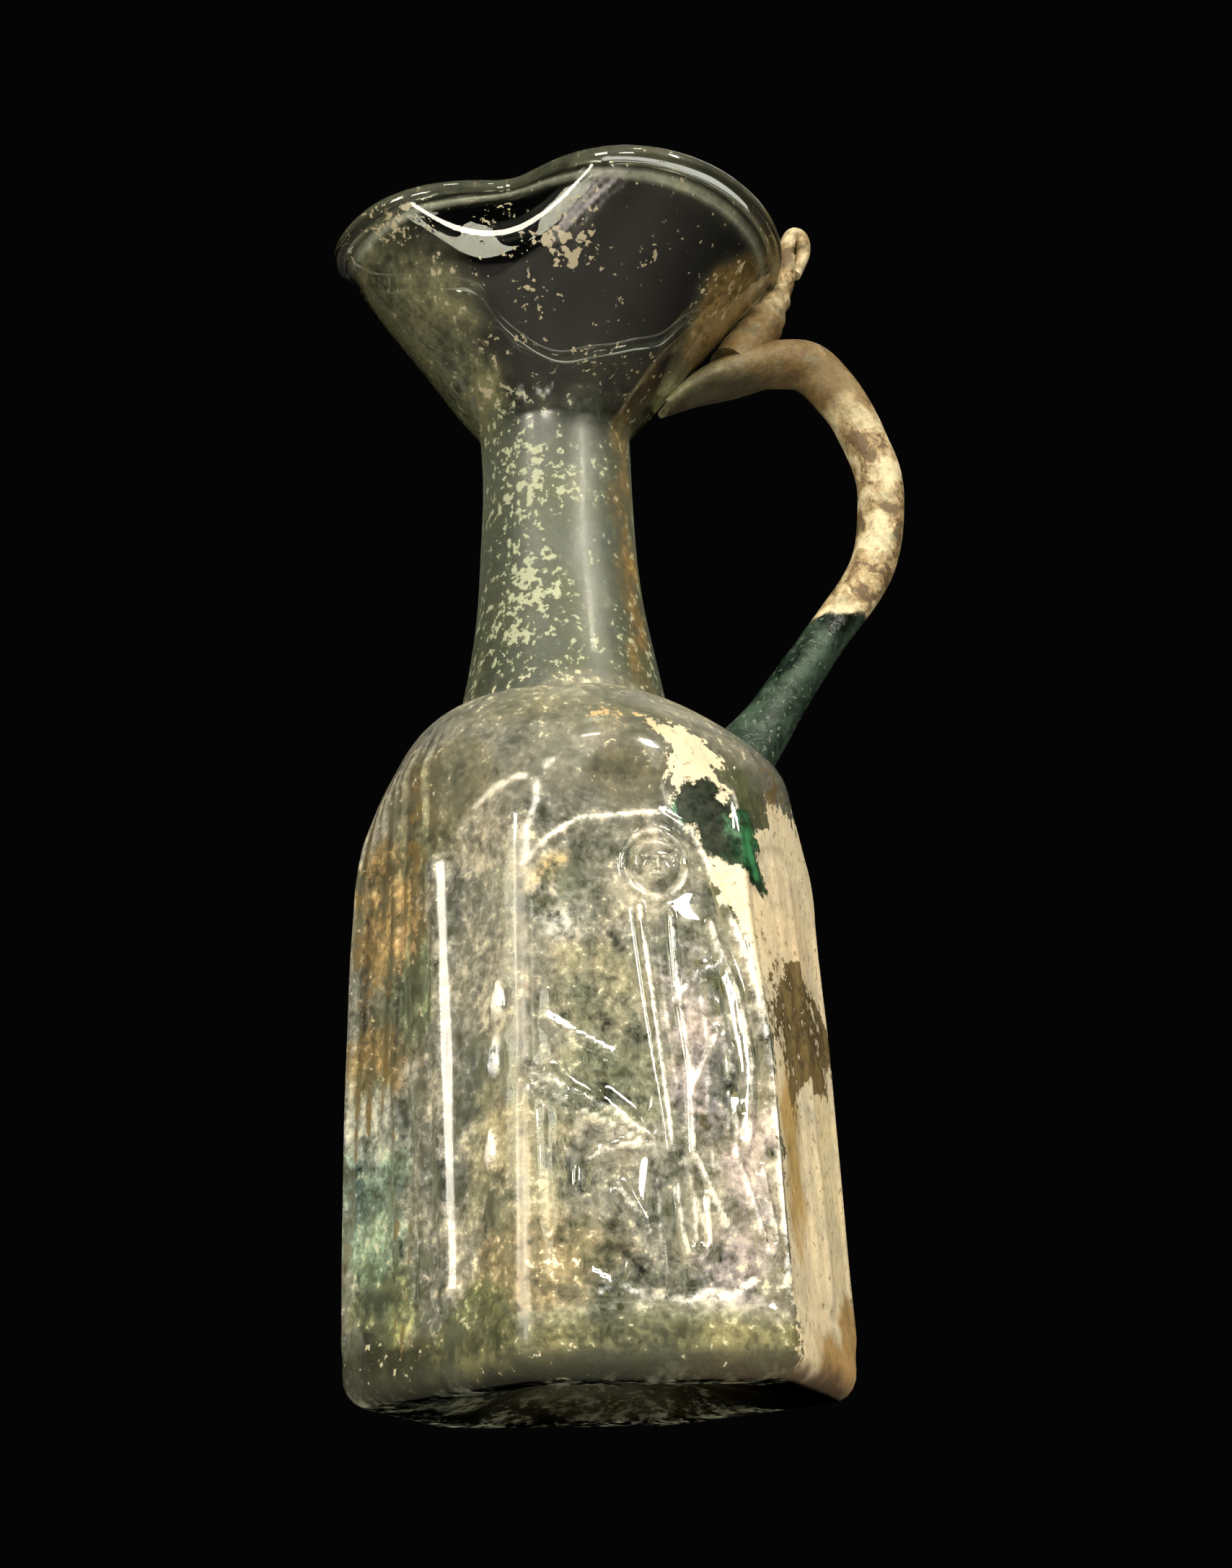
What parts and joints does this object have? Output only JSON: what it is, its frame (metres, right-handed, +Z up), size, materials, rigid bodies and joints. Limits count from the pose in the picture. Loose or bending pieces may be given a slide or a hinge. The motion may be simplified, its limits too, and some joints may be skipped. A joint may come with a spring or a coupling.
{
  "type": "glass jug",
  "caption": "Six-sided mould-blown glass jug with a relief figure panel, trefoil pouring mouth, slim neck and applied handle with thumb loop.",
  "frame": {"origin": "in the plane of the underside, under the middle of the jug's whole length from the body's far corner to the outside of the handle; the body's own axis is 9.3 mm towards -X", "axes": "+Z up along the body's axis; +X towards the handle, -X towards the pouring lip; the panel with the relief figure faces -Y"},
  "size_m": [0.0998, 0.075, 0.2052],
  "materials": {
    "weathered_glass": "see-through grey-green glass under a thin olive and cream weathering film, glossy where the film has flaked",
    "crusted_glass": "dark teal-green glass, its upper two thirds under a matt cream and brown crust"
  },
  "bodies": {
    "root": {"jug_vessel": "weathered_glass", "handle": "crusted_glass"}
  },
  "joints": []
}
